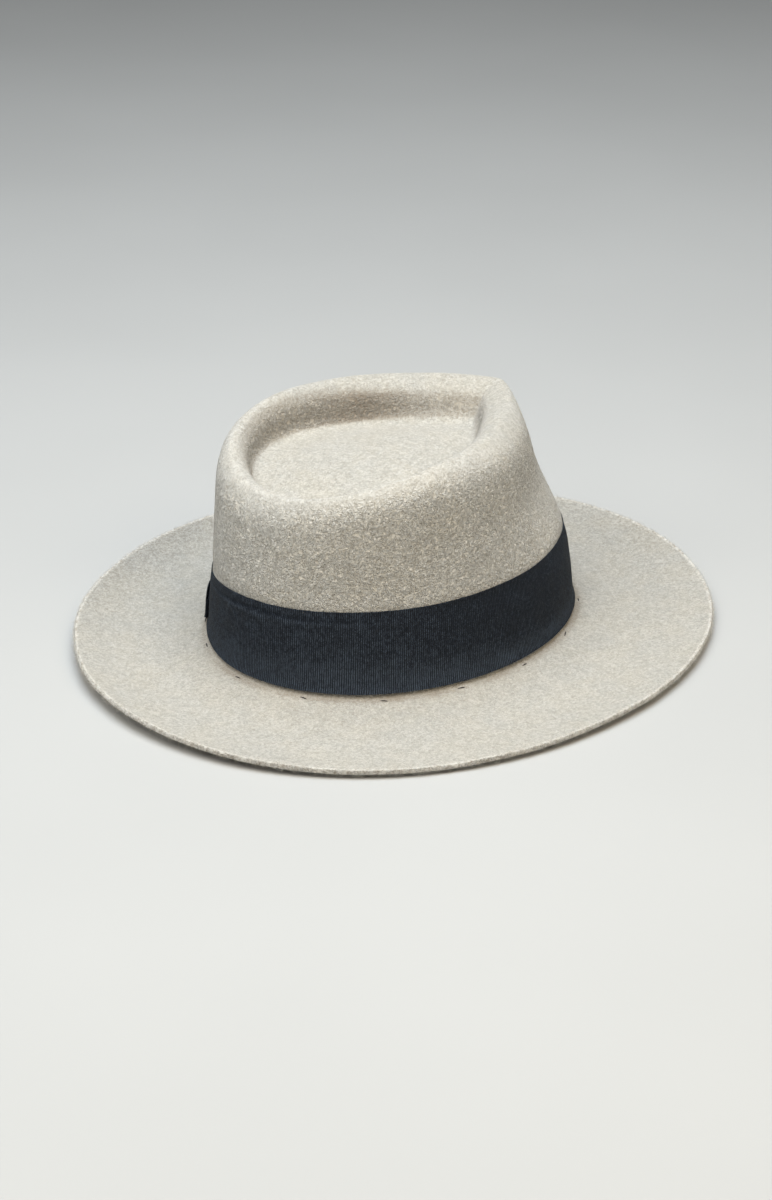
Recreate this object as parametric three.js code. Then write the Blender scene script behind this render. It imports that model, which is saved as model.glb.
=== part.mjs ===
import * as THREE from "three";

// A light taupe fedora: crown and brim in one piece of wool felt, a dark grosgrain ribbon and a flat bow.
// Millimetres, +Z up. It stands on its brim at z = 0, its pointed front towards -Y, its bow on +X.
// A bearing is the angle round the head, 0 at the front, 90 at the bow, 180 at the back.

// Driving sizes
const feltThickness = 2.2;
const columns = 64;
const brimTopAtCrown = 4.6;
const crownFillet = 2.2;
const ribbonWidth = 42.6;
const ribbonThickness = 1.0;
const layerGap = 0.3;
const strapThickness = 0.7;

const degrees = Math.PI / 180;
const fullTurn = 2 * Math.PI;

// The crown's level sections, from the middle of its top outwards and down to the brim.
// half: half width. front, back: reach along -Y and +Y. point: how far the front draws into a point.
// sway: how far the front lies off the middle, towards -X. zFront, zSide, zBack: height there.
// rows: rows of faces from here to the next section.
const ribbonFoot = brimTopAtCrown + crownFillet;
const ribbonTop = ribbonFoot + ribbonWidth;
const sectionColumns = ["name", "half", "front", "back", "point", "sway", "zFront", "zSide", "zBack", "rows"];
const sectionTable = [
  ["floor", 20, 16, 42, 0.4, 3, 100.6, 100.2, 98.6, 2],
  ["heel", 39.6, 39.6, 62, 0.8, 7, 98.4, 96.9, 91, 3],
  ["foot", 51.6, 51, 74.5, 0.78, 4, 99.4, 96.7, 87, 3],
  ["lip", 54, 60.5, 79.6, 0.76, 2, 112.2, 110, 96.2, 3],
  ["crest", 60.4, 75, 88.2, 0.56, 0, 115.9, 117.2, 100.6, 3],
  ["shoulder", 69.8, 75, 95.2, 0.26, 0, 107, 110, 91.2, 4],
  ["wall", 74, 83.7, 98.7, 0.14, 0, 77.9, 78, 70.6, 3],
  ["ribbonTop", 78.9, 95, 100.9, 0, 0, ribbonTop, ribbonTop, ribbonTop, 4],
  ["ribbonFoot", 84.6, 101.4, 103.3, 0, 0, ribbonFoot, ribbonFoot, ribbonFoot, 1],
];
const crownSections = sectionTable.map((row) => namedRow(sectionColumns, row));
const tipSharpness = 0.03;
const topMiddle = new THREE.Vector3(0, 11, 101.2);
const ribbonTopSection = crownSections.findIndex((section) => section.name === "ribbonTop");
const crestSection = crownSections.findIndex((section) => section.name === "crest");
const headOval = crownSections[crownSections.length - 1];

// The brim by bearing, every 45 degrees: its width, and how far its edge stands off the table.
const brimByBearing = [
  { bearing: 0, width: 68.3, lift: 5.5 },
  { bearing: 45, width: 68.0, lift: 1.5 },
  { bearing: 90, width: 68.8, lift: 4.9 },
  { bearing: 135, width: 66.5, lift: 7.0 },
  { bearing: 180, width: 66.3, lift: 6.5 },
  { bearing: 225, width: 67.2, lift: 2.3 },
  { bearing: 270, width: 67.4, lift: 3.6 },
  { bearing: 315, width: 70.5, lift: 4.4 },
];
const topRows = [0.35, 0.7];
const filletTurns = [45, 90];
const brimShares = [0.06, 0.16, 0.25, 0.34, 0.46, 0.58, 0.7, 0.82, 0.92, 0.98, 1];
// The brim falls to the table by one share of its width, lies flat on it, and rises again past another.
const brimSettled = 0.34;
const brimRises = 0.46;
const brimRisePower = 1.6;
const brimPress = 0.25;
const edgeBulge = 0.25;

// The front pinches: shallow dents in the crown's side wall, one on each side.
const pinches = [
  { bearing: 58, height: 74, depth: 2.4, spread: 20, rise: 20 },
  { bearing: -58, height: 74, depth: 2.4, spread: 20, rise: 20 },
];

// The bow lies flat on the ribbon. Its knot is at a bearing and a height, and it reaches along the band.
const bow = {
  bearing: 117,
  height: 18,
  halfLength: 42,
  loopHeight: 21,
  waistHeight: 16,
  loopRadius: 0.75,
  loopPuff: 1.0,
  loopSteps: 12,
  endSteps: 4,
  knotWidth: 10,
  knotCorner: 1.2,
  tailStart: -26,
  tailReach: 42,
  tailSlant: 26,
  tailRise: 8,
  tailHeight: 38,
  tailSteps: 8,
};
const knotCornerTurns = [180, 135, 90];
const tailRows = [-1, -0.5, 0, 0.5, 1];
const wallHalvings = 24;

// A strap's cross-section. face: the side towards the band or away from it. edge: the place across its width.
const strapSection = [
  { face: -1, edge: -1 },
  { face: -1, edge: 0 },
  { face: -1, edge: 1 },
  { face: 1, edge: 1 },
  { face: 1, edge: 0 },
  { face: 1, edge: -1 },
];

const feltColour = 0xc9c6bb;
const ribbonColour = 0x23282d;

// A table's row with its values under their column names.
function namedRow(names, row) {
  return Object.fromEntries(row.map((value, i) => [names[i], value]));
}

// A point of a level oval whose front can draw into a point.
function ovalPoint(section, angle) {
  const pinchIn = Math.pow(Math.max(Math.abs(Math.sin(angle / 2)), tipSharpness), section.point);
  const towardsFront = Math.max(Math.cos(angle), 0) ** 2;
  const reach = (section.half * Math.sin(angle) * pinchIn) / widestPinch(section.point);
  const x = reach - section.sway * towardsFront;
  const middle = (section.back - section.front) / 2;
  const y = middle - ((section.back + section.front) / 2) * Math.cos(angle);
  const towardsBack = Math.max(-Math.cos(angle), 0) ** 2;
  const frontRise = (section.zFront - section.zSide) * towardsFront;
  const backRise = (section.zBack - section.zSide) * towardsBack;
  return new THREE.Vector3(x, y, section.zSide + frontRise + backRise);
}

// The largest value of sin(a) sin(a/2)^point, which keeps the half width true.
function widestPinch(point) {
  const samples = 360;
  let widest = 0;
  for (let i = 1; i < samples; i += 1) {
    const angle = (Math.PI * i) / samples;
    widest = Math.max(widest, Math.sin(angle) * Math.pow(Math.sin(angle / 2), point));
  }
  return widest;
}

// A column of the brim table read at any angle, on a smooth closed curve through its rows.
function brimValue(column, angle) {
  const count = brimByBearing.length;
  const place = ((angle / fullTurn) * count + count) % count;
  const first = Math.floor(place);
  const share = place - first;
  const at = (i) => brimByBearing[(first + i + count) % count][column];
  const slopeHere = (at(1) - at(-1)) / 2;
  const slopeNext = (at(2) - at(0)) / 2;
  const blend = share * share * (3 - 2 * share);
  const bend = share * (1 - share);
  return at(0) + (at(1) - at(0)) * blend + bend * ((1 - share) * slopeHere - share * slopeNext);
}

// The outward normal of the head oval, level.
function headNormal(angle) {
  const halfLength = (headOval.front + headOval.back) / 2;
  return new THREE.Vector3(Math.sin(angle) / headOval.half, -Math.cos(angle) / halfLength, 0).normalize();
}

function brimPoint(share, angle) {
  const out = crownFillet + brimValue("width", angle) * share;
  const fall = (brimTopAtCrown - feltThickness) * Math.max(1 - share / brimSettled, 0) ** 2;
  const climb = Math.max((share - brimRises) / (1 - brimRises), 0) ** brimRisePower;
  const pressed = brimPress * Math.min(share / brimSettled, 1);
  const point = ovalPoint(headOval, angle).addScaledVector(headNormal(angle), out);
  point.z = feltThickness - pressed + fall + brimValue("lift", angle) * climb;
  return point;
}

// Moves a point of the crown's wall inwards where a pinch dents it.
function dent(point, angle) {
  const inward = headNormal(angle).negate();
  const along = (headOval.front + headOval.back) / 2;
  for (const pinch of pinches) {
    const turn = angle - pinch.bearing * degrees;
    const aside = (Math.atan2(Math.sin(turn), Math.cos(turn)) * along) / pinch.spread;
    const above = (point.z - pinch.height) / pinch.rise;
    point.addScaledVector(inward, pinch.depth * Math.exp(-aside * aside - above * above));
  }
  return point;
}

// The crown's outer face along one bearing: a smooth curve from the middle of the top to the ribbon's foot.
function crownCurve(angle) {
  const knots = crownSections.map((section) => ovalPoint(section, angle));
  return new THREE.CatmullRomCurve3([topMiddle.clone(), ...knots], false, "centripetal");
}

// The place of a section along that curve, from 0 at the middle of the top to 1 at the ribbon's foot.
function placeOf(index) {
  return (index + 1) / crownSections.length;
}

// The felt's outer face along one bearing, from the middle of the top to the brim's edge.
function feltColumn(angle) {
  const curve = crownCurve(angle);
  const points = topRows.map((share) => curve.getPoint(placeOf(share - 1)));
  crownSections.forEach((section, index) => {
    for (let row = 0; row < section.rows; row += 1) {
      const point = curve.getPoint(placeOf(index + row / section.rows));
      points.push(index >= crestSection ? dent(point, angle) : point);
    }
  });
  const foot = ovalPoint(headOval, angle);
  for (const turn of filletTurns) {
    const out = crownFillet * (1 - Math.cos(turn * degrees));
    const corner = foot.clone().addScaledVector(headNormal(angle), out);
    corner.z = ribbonFoot - crownFillet * Math.sin(turn * degrees);
    points.push(corner);
  }
  for (const share of brimShares) {
    points.push(brimPoint(share, angle));
  }
  return points;
}

const angles = Array.from({ length: columns }, (_, i) => (fullTurn * i) / columns);
const outerFelt = angles.map(feltColumn);
const feltRows = outerFelt[0].length;

// The row at which a crown section lies.
function rowOf(index) {
  return crownSections.slice(0, index).reduce((sum, section) => sum + section.rows, topRows.length);
}

// The outward normal of the felt's outer face at one column and row.
function feltNormal(column, row) {
  const before = outerFelt[(column + columns - 1) % columns][row];
  const after = outerFelt[(column + 1) % columns][row];
  const inner = row > 0 ? outerFelt[column][row - 1] : topMiddle;
  const outer = outerFelt[column][Math.min(row + 1, feltRows - 1)];
  const round = new THREE.Vector3().subVectors(after, before);
  const down = new THREE.Vector3().subVectors(outer, inner);
  return down.cross(round).normalize();
}

function feltOffset(column, row, distance) {
  return outerFelt[column][row].clone().addScaledVector(feltNormal(column, row), distance);
}

// Joins rings of points, each with as many points as the next, into one closed body.
// With two poles a fan round each closes the first and last ring. With none the last ring meets the first.
function loft(rings, poles = []) {
  const points = rings.flat();
  const size = rings[0].length;
  const count = rings.length;
  const faces = [];
  const spans = poles.length ? count - 1 : count;
  for (let ring = 0; ring < spans; ring += 1) {
    for (let i = 0; i < size; i += 1) {
      const next = (i + 1) % size;
      const here = ring * size;
      const ahead = ((ring + 1) % count) * size;
      faces.push([here + i, ahead + i, ahead + next], [here + i, ahead + next, here + next]);
    }
  }
  poles.forEach((pole, end) => {
    const start = end === 0 ? 0 : (count - 1) * size;
    for (let i = 0; i < size; i += 1) {
      const here = start + i;
      const next = start + ((i + 1) % size);
      faces.push(end === 0 ? [points.length, here, next] : [points.length, next, here]);
    }
    points.push(pole);
  });
  return facingOut(points, faces);
}

// A closed body whose faces point outwards, whichever way its rings ran.
function facingOut(points, faces) {
  const volume = faces.reduce((sum, [a, b, c]) => sum + points[a].dot(points[b].clone().cross(points[c])), 0);
  const turned = volume < 0 ? faces.map(([a, b, c]) => [a, c, b]) : faces;
  const places = points.flatMap((point) => point.toArray());
  const geometry = new THREE.BufferGeometry();
  geometry.setAttribute("position", new THREE.Float32BufferAttribute(places, 3));
  geometry.setIndex(turned.flat());
  geometry.computeVertexNormals();
  return geometry;
}

function centreOf(ring) {
  return ring.reduce((sum, point) => sum.add(point), new THREE.Vector3()).divideScalar(ring.length);
}

// The felt's inner face, flattened where the brim rests on the table.
function feltInside(column, row) {
  const point = feltOffset(column, row, -feltThickness);
  point.z = Math.max(point.z, 0);
  return point;
}

// Crown and brim in one: the outer face from the middle of the top to the edge, the cut edge, the inner face.
// Under the crown the inner face has every other row of the outer one, under the brim all of them.
function feltBody() {
  const outer = [];
  const inner = [];
  const firstBrimRow = feltRows - brimShares.length;
  for (let row = 0; row < feltRows; row += 1) {
    outer.push(outerFelt.map((points) => points[row]));
    if (row % 2 === 0 || row >= firstBrimRow) {
      inner.unshift(outerFelt.map((_, column) => feltInside(column, row)));
    }
  }
  const cutFace = outer[feltRows - 1].map((point, column) => {
    const middle = point.clone().add(inner[0][column]).multiplyScalar(0.5);
    return middle.addScaledVector(headNormal(angles[column]), edgeBulge);
  });
  const under = topMiddle.clone();
  under.z -= feltThickness;
  return loft([...outer, cutFace, ...inner], [topMiddle, under]);
}

// The ribbon lies round the foot of the crown, a small gap off the felt.
function ribbonBand() {
  const firstRow = rowOf(ribbonTopSection);
  const rows = Array.from({ length: crownSections[ribbonTopSection].rows + 1 }, (_, i) => firstRow + i);
  const face = (row, distance) => angles.map((_, column) => feltOffset(column, row, distance));
  const inside = rows.map((row) => face(row, layerGap));
  const outside = rows.map((row) => face(row, layerGap + ribbonThickness)).reverse();
  return loft([...inside, ...outside]);
}

// The crown's wall under the ribbon at a bearing and a height, found by halving.
function wallPoint(angle, height) {
  const curve = crownCurve(angle);
  let above = placeOf(ribbonTopSection);
  let below = 1;
  for (let halving = 0; halving < wallHalvings; halving += 1) {
    const middle = (above + below) / 2;
    if (curve.getPoint(middle).z > height) above = middle;
    else below = middle;
  }
  return curve.getPoint(above);
}

// A point of the bow: along the band from the knot, up from the bow's middle height, and off the felt.
function bowPoint(along, up, off) {
  const start = bow.bearing * degrees;
  const halfLength = (headOval.front + headOval.back) / 2;
  const reach = Math.hypot(headOval.half * Math.cos(start), halfLength * Math.sin(start));
  const angle = start + along / reach;
  return wallPoint(angle, bow.height + up).addScaledVector(headNormal(angle), off);
}

// The layers of the bow, from the ribbon outwards: the tail, the loops and the knot.
const tailOff = layerGap + ribbonThickness + layerGap;
const loopOff = tailOff + strapThickness + layerGap;
const knotOff = loopOff + strapThickness + 2 * bow.loopRadius + layerGap;

// How far a place on the loops is from the knot's side towards the loop's end, from 0 to 1.
function loopShare(along) {
  const bare = Math.max(Math.abs(along) - bow.knotWidth / 2, 0);
  return Math.min(bare / (bow.halfLength - bow.knotWidth / 2), 1);
}

// Both loops are one strap that runs along the band, turns round and comes back over itself.
function bowLoops() {
  const straight = bow.halfLength - bow.loopRadius;
  const middleOff = loopOff + strapThickness / 2;
  const path = [];
  for (const side of [1, -1]) {
    const turnBefore = side > 0 ? 0 : Math.PI;
    for (let step = 0; step <= bow.loopSteps; step += 1) {
      const along = side * straight * ((2 * step) / bow.loopSteps - 1);
      const puff = side > 0 ? 0 : bow.loopPuff * Math.sin(Math.PI * loopShare(along)) ** 2;
      const back = side > 0 ? 0 : 2 * bow.loopRadius;
      path.push({ along, off: middleOff + back + puff, turn: turnBefore });
    }
    for (let step = 1; step < bow.endSteps; step += 1) {
      const turn = turnBefore + (Math.PI * step) / bow.endSteps;
      const along = side * straight + bow.loopRadius * Math.sin(turn);
      path.push({ along, off: middleOff + bow.loopRadius * (1 - Math.cos(turn)), turn });
    }
  }
  const half = strapThickness / 2;
  const rings = path.map(({ along, off, turn }) => {
    const share = loopShare(along);
    const flare = share * share * (3 - 2 * share);
    const reach = (bow.waistHeight + (bow.loopHeight - bow.waistHeight) * flare) / 2;
    return strapSection.map(({ face, edge }) =>
      bowPoint(along - face * half * Math.sin(turn), edge * reach, off + face * half * Math.cos(turn)),
    );
  });
  return loft(rings);
}

// The knot is a strap over the waist of the loops, its two ends turned in towards the ribbon.
function bowKnot() {
  const reach = bow.waistHeight / 2 + layerGap + strapThickness;
  const top = knotOff + strapThickness;
  const corner = bow.knotCorner;
  const path = [{ up: -reach, off: loopOff, turn: Math.PI }];
  for (const bend of knotCornerTurns) {
    const turn = bend * degrees;
    const up = corner * (1 + Math.cos(turn)) - reach;
    path.push({ up, off: top - corner * (1 - Math.sin(turn)), turn });
  }
  const middle = { up: 0, off: top, turn: Math.PI / 2 };
  const otherHalf = path.map(({ up, off, turn }) => ({ up: -up, off, turn: Math.PI - turn })).reverse();
  const rings = [...path, middle, ...otherHalf].map(({ up, off, turn }) =>
    strapSection.map(({ face, edge }) => {
      const deep = face > 0 ? 0 : strapThickness;
      return bowPoint((edge * bow.knotWidth) / 2, up - deep * Math.cos(turn), off - deep * Math.sin(turn));
    }),
  );
  return loft(rings, [centreOf(rings[0]), centreOf(rings[rings.length - 1])]);
}

// The tail is the ribbon's own end under the loops, cut on a slant so that its lower corner is the point.
function bowTail() {
  const rings = [];
  for (let step = 0; step <= bow.tailSteps; step += 1) {
    const point = (up, off) => {
      const end = bow.tailReach - bow.tailSlant * ((up + 1) / 2);
      const along = bow.tailStart + ((end - bow.tailStart) * step) / bow.tailSteps;
      return bowPoint(along, bow.tailRise + (up * bow.tailHeight) / 2, off);
    };
    const near = tailRows.map((up) => point(up, tailOff));
    const far = tailRows.map((up) => point(up, tailOff + strapThickness)).reverse();
    rings.push([...near, ...far]);
  }
  return loft(rings, [centreOf(rings[0]), centreOf(rings[rings.length - 1])]);
}

function piece(name, geometry, color, roughness) {
  const material = new THREE.MeshStandardMaterial({ color, roughness, metalness: 0 });
  const mesh = new THREE.Mesh(geometry, material);
  mesh.name = name;
  return mesh;
}

const fedora = new THREE.Group();
fedora.name = "fedora";
fedora.add(
  piece("felt_body", feltBody(), feltColour, 0.95),
  piece("ribbon_band", ribbonBand(), ribbonColour, 0.7),
  piece("bow_tail", bowTail(), ribbonColour, 0.7),
  piece("bow_loops", bowLoops(), ribbonColour, 0.7),
  piece("bow_knot", bowKnot(), ribbonColour, 0.7),
);

export default fedora;
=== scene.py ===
import math

import bmesh
import bpy
import numpy as np
from bpy.props import FloatProperty, FloatVectorProperty, IntProperty, PointerProperty
from mathutils import Matrix, Vector, noise
from mathutils.bvhtree import BVHTree


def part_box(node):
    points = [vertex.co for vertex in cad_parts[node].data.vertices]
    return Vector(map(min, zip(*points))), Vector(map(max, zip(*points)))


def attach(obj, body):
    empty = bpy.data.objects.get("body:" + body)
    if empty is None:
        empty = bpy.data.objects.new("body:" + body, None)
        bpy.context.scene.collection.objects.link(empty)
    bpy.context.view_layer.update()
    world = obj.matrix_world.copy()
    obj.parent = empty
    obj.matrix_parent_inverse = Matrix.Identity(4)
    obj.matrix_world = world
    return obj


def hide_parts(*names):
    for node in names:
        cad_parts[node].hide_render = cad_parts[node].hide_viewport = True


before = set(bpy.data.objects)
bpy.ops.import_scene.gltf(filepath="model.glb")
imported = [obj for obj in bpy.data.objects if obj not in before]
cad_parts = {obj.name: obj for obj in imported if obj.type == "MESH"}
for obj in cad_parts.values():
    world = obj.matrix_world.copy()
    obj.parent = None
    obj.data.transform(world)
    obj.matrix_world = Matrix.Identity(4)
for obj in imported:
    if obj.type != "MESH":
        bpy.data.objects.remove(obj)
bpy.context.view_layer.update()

bl_info = {
    "name": "Felt fedora",
    "version": (1, 0, 0),
    "blender": (4, 5, 0),
    "location": "3D View > Sidebar > Fedora",
    "description": "Dresses a teardrop fedora: felt, ribbon, bow, stitches, loose fibres and a plain stage",
    "category": "Object",
}

# Lengths are in metres. Bearings run from the front, 0, by the wearer's left, 90, to the back, 180.
BAND_LOW, BAND_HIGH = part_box("ribbon_band")
BAND_MIDDLE = (BAND_LOW + BAND_HIGH) / 2
BAND_HALF = (BAND_HIGH - BAND_LOW) / 2
FELT = "felt_crown_and_brim"
RIBBON_CLOTH = "navy_black_grosgrain"
FELT_RADIUS = 0.095  # the head oval's, to turn shares of it into metres
TO_MILLIMETRES = (1000, 1000, 1000)


# Sizes and colours a user would change

def number(name, description, default, **kind):
    return FloatProperty(name=name, description=description, default=default, **kind)


def metres(name, description, default):
    return number(name, description, default, unit="LENGTH", subtype="DISTANCE")


def degrees(name, description, default):
    return number(name, description, math.radians(default), subtype="ANGLE")


def colour_setting(name, description, default):
    return FloatVectorProperty(name=name, description=description, default=default, subtype="COLOR")


class FedoraFelt(bpy.types.PropertyGroup):
    smoothing: IntProperty(
        name="Smoothing", description="Times the felt's mesh is subdivided", default=2, min=1, max=3)
    unevenness: metres("Unevenness", "How far the blocked felt strays from its true shape", 0.0009)
    unevenness_size: metres("Unevenness size", "Size of one low swell in the felt", 0.045)
    seat_depth: metres("Seat depth", "How far the tight ribbon presses into the felt", 0.0004)
    edge_sharpness: number("Edge sharpness", "How square the cut edge stays", 0.55, subtype="FACTOR")
    colour: colour_setting("Felt colour", "Main colour of the wool", (0.57, 0.53, 0.455))
    pale_fibre: colour_setting("Pale fibre", "Colour of the palest wool in the mix", (0.86, 0.83, 0.77))
    dark_fibre: colour_setting("Dark fibre", "Colour of the darkest wool in the mix", (0.20, 0.17, 0.13))


class FedoraFuzz(bpy.types.PropertyGroup):
    edge_count: IntProperty(name="Edge fibres", description="Loose fibres on the cut edge", default=12000)
    nap_count: IntProperty(name="Nap fibres", description="Loose fibres all over the outside", default=5000)
    length: metres("Fibre length", "Usual length of a loose fibre", 0.0016)
    thickness: metres("Fibre thickness", "Thickness of a loose fibre", 0.00008)


class FedoraRibbon(bpy.types.PropertyGroup):
    thickness: metres("Ribbon thickness", "Thickness of the grosgrain", 0.00045)
    standoff: metres("Ribbon standoff", "Gap between felt and ribbon", 0.00042)
    flare: metres("Lower edge flare", "How far the lower edge leans out", 0.0005)
    rib_pitch: metres("Rib pitch", "Distance from one rib to the next", 0.00108)
    colour: colour_setting("Ribbon colour", "Main colour of the grosgrain", (0.0085, 0.0120, 0.0198))
    # A lighter blue-grey, for dust on the band and for painted highlight on it.
    dust_and_highlight_colour: colour_setting(
        "Worn colour", "Colour where the ribbon is rubbed and dusty", (0.086, 0.109, 0.143))
    tack_spacing: metres("Tack spacing", "Distance between tack stitches", 0.037)


class FedoraBow(bpy.types.PropertyGroup):
    bearing: degrees("Bearing", "Where the knot sits, from the front round to the wearer's left", 117)
    height: metres("Height", "Height of the bow's middle", 0.0155)
    half_length: metres("Half length", "From the knot's middle to a loop's end", 0.042)
    loop_height: metres("Loop height", "Height of a loop at its end", 0.0170)
    waist_height: metres("Waist height", "Height of the loops at the knot", 0.0142)
    knot_width: metres("Knot width", "Width of the knot", 0.0104)
    tail_start: metres("Tail start", "Hidden end of the tail, from the knot", -0.026)
    tail_reach: metres("Tail reach", "Lower corner of the tail, from the knot", 0.042)
    tail_slant: metres("Tail slant", "How far the cut end slants", 0.026)


class FedoraStage(bpy.types.PropertyGroup):
    floor_colour: colour_setting("Floor colour", "Colour of the floor", (0.44, 0.435, 0.42))
    lens: number("Lens", "Focal length on a 36 mm wide frame", 78.0, subtype="DISTANCE_CAMERA")
    eye: FloatVectorProperty(
        name="Camera place", description="Where the camera stands", subtype="TRANSLATION",
        default=(-0.8948, 0.8141, 0.6163))
    azimuth: degrees("Azimuth", "Turn of the view, 0 looks along +Y", 227.91)
    elevation: degrees("Elevation", "Tilt of the view above level", 26.55)
    overhead: number("Overhead light", "Power of the large light above", 26.5, unit="POWER")
    rear: number("Rear light", "Power of the soft light behind the hat", 16.2, unit="POWER")
    side: number("Side light", "Power of the soft light at the wearer's right", 12.7, unit="POWER")
    surround: number("Surround", "Strength of the light from all round", 0.05)


# Hand tools

def select_only(piece):
    bpy.ops.object.select_all(action="DESELECT")
    piece.select_set(True)
    bpy.context.view_layer.objects.active = piece


def edit(piece, first="DESELECT"):
    """Enters edit mode on one piece, with nothing selected or, for SELECT, all of it."""
    select_only(piece)
    bpy.ops.object.mode_set(mode="EDIT")
    bpy.ops.mesh.select_mode(type="VERT")
    bpy.ops.mesh.select_all(action=first)


def pick(piece, kind, wanted):
    """Enters edit mode with only the wanted vertices or edges selected."""
    edit(piece)
    shape = bmesh.from_edit_mesh(piece.data)
    for element in getattr(shape, kind):
        element.select = bool(wanted(element))
    bmesh.update_edit_mesh(piece.data)


def leave_edit():
    bpy.ops.object.mode_set(mode="OBJECT")


def cut(piece, place, direction, clear_outer=False):
    """Cuts a piece with a plane, and takes off what is beyond it if asked."""
    edit(piece, "SELECT")
    bpy.ops.mesh.bisect(plane_co=place, plane_no=direction, clear_outer=clear_outer)
    leave_edit()


def close_up(piece, gap=0.0):
    """Joins the vertices that are closer than the gap, and turns the faces outwards."""
    edit(piece, "SELECT")
    if gap:
        bpy.ops.mesh.remove_doubles(threshold=gap)
    bpy.ops.mesh.normals_make_consistent(inside=False)
    leave_edit()


def finish_with(piece, kind, **values):
    """Adds one modifier, sets it and applies it."""
    select_only(piece)
    modifier = piece.modifiers.new(kind.title(), kind)
    for name, value in values.items():
        setattr(modifier, name, value)
    bpy.ops.object.modifier_apply(modifier=modifier.name)


def smooth_faces(piece, angle):
    select_only(piece)
    bpy.ops.object.shade_smooth_by_angle(angle=math.radians(angle))


def thicken(piece, thickness):
    """Gives a sheet its thickness, outwards."""
    finish_with(piece, "SOLIDIFY", thickness=thickness, offset=1, use_even_offset=True)
    smooth_faces(piece, 50)


def copy_of_node(node, name):
    """A merged copy of a CAD node's mesh, with its triangles paired into quads."""
    piece = bpy.data.objects.new(name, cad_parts[node].data.copy())
    bpy.context.collection.objects.link(piece)
    piece.data.materials.clear()
    select_only(piece)
    bpy.ops.mesh.customdata_custom_splitnormals_clear()
    edit(piece, "SELECT")
    bpy.ops.mesh.remove_doubles(threshold=1e-6)
    widest_pair = math.radians(80)
    bpy.ops.mesh.tris_convert_to_quads(face_threshold=widest_pair, shape_threshold=widest_pair)
    leave_edit()
    return piece


def new_piece(name):
    """The primitive that was just added, under its own name and with its place in its mesh."""
    piece = bpy.context.active_object
    piece.name = name
    piece.data.name = name
    bpy.ops.object.transform_apply(location=True, rotation=True, scale=True)
    return piece


def places(piece, kind="co"):
    """The piece's vertices, or for "normal" the directions they face, as rows of x, y, z."""
    found = np.empty(len(piece.data.vertices) * 3)
    piece.data.vertices.foreach_get(kind, found)
    return found.reshape(-1, 3)


def set_places(piece, rows):
    piece.data.vertices.foreach_set("co", np.asarray(rows, float).ravel())
    piece.data.update()


def keep_values(piece, name, values):
    """Keeps a value on each vertex, for the material to read."""
    piece.data.attributes.new(name, "FLOAT", "POINT").data.foreach_set("value", values)


def belongs(piece, made, slot, *nodes):
    """Gives a piece its material and body, and hides the CAD nodes it stands for. Its slot is not used."""
    piece.data.materials.append(made)
    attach(piece, "root")
    if nodes:
        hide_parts(*nodes)


def piece_called(name):
    piece = bpy.data.objects.get(name)
    if piece is None:
        raise RuntimeError(f"{name} has to be made first")
    return piece


# Shapes that the pieces share

def eased(values, low, high):
    """0 below low, 1 above high and a smooth step between them."""
    share = np.clip((values - low) / (high - low), 0, 1)
    return share * share * (3 - 2 * share)


def hump(values, middle, spread):
    """1 at the middle, falling smoothly to 0 on both sides of it."""
    return np.exp(-((values - middle) / spread) ** 2)


def bump_at(bearing, middle, spread):
    """1 at one bearing, falling smoothly to 0 away from it, in degrees."""
    return hump((bearing - middle + 180) % 360 - 180, 0, spread)


def oval_share(x, y):
    """How far out a place lies, 1 at the ribbon's foot."""
    return np.hypot((x - BAND_MIDDLE.x) / BAND_HALF.x, (y - BAND_MIDDLE.y) / BAND_HALF.y)


def from_brim_edge(rows, parts=120):
    """How far inside the brim's outer edge each place lies."""
    reach = np.hypot(rows[:, 0], rows[:, 1])
    turn = np.arctan2(rows[:, 0], -rows[:, 1])
    bins = np.floor((turn + math.pi) / math.tau * parts).astype(int) % parts
    furthest = [np.flatnonzero(bins == part)[np.argmax(reach[bins == part])] for part in range(parts)]
    return np.interp(turn, turn[furthest], reach[furthest], period=math.tau) - reach


class Wall:
    """Finds a place on the crown's wall from a bearing, or a distance along the band, and a height."""

    steps = 720
    ray_start = 0.14  # well outside the crown

    def __init__(self, felt):
        self.tree = BVHTree.FromObject(felt, bpy.context.evaluated_depsgraph_get())
        self.turns = np.linspace(0, math.tau, self.steps + 1)
        ring = np.array([self.hit(turn, BAND_MIDDLE.z)[0] for turn in self.turns])
        self.reach = np.concatenate([[0], np.cumsum(np.linalg.norm(np.diff(ring, axis=0), axis=1))])
        self.round_it = float(self.reach[-1])

    def outward(self, bearing):
        """The level direction from the head oval's middle to its place at a bearing."""
        return Vector((BAND_HALF.x * math.sin(bearing), -BAND_HALF.y * math.cos(bearing), 0)).normalized()

    def hit(self, bearing, height):
        """The wall's place and its outward direction at a bearing and a height."""
        out = self.outward(bearing)
        start = Vector((BAND_MIDDLE.x, BAND_MIDDLE.y, height)) + out * self.ray_start
        place, normal, _, _ = self.tree.ray_cast(start, -out)
        if place is None:
            raise RuntimeError(f"no felt at bearing {bearing:.3f}, height {height:.4f}")
        return place, normal

    def along_of(self, bearing):
        return np.interp(bearing % math.tau, self.turns, self.reach)

    def bearing_of(self, along):
        return np.interp(along % self.round_it, self.reach, self.turns)


def wrap(piece, wall, start):
    """Bends a piece modelled flat, x along the band, y up and z outwards, round the crown from start."""
    rows = []
    for x, y, z in places(piece):
        place, normal = wall.hit(wall.bearing_of(start + x), y)
        rows.append(place + normal * z)
    set_places(piece, rows)


def flat_strip(name, length, width, columns, rows):
    """A flat grid, x along it from 0 and y across it from 0."""
    bpy.ops.mesh.primitive_grid_add(
        x_subdivisions=columns, y_subdivisions=rows, size=1, location=(length / 2, width / 2, 0))
    bpy.context.active_object.scale = (length, width, 1)
    return new_piece(name)


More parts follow.
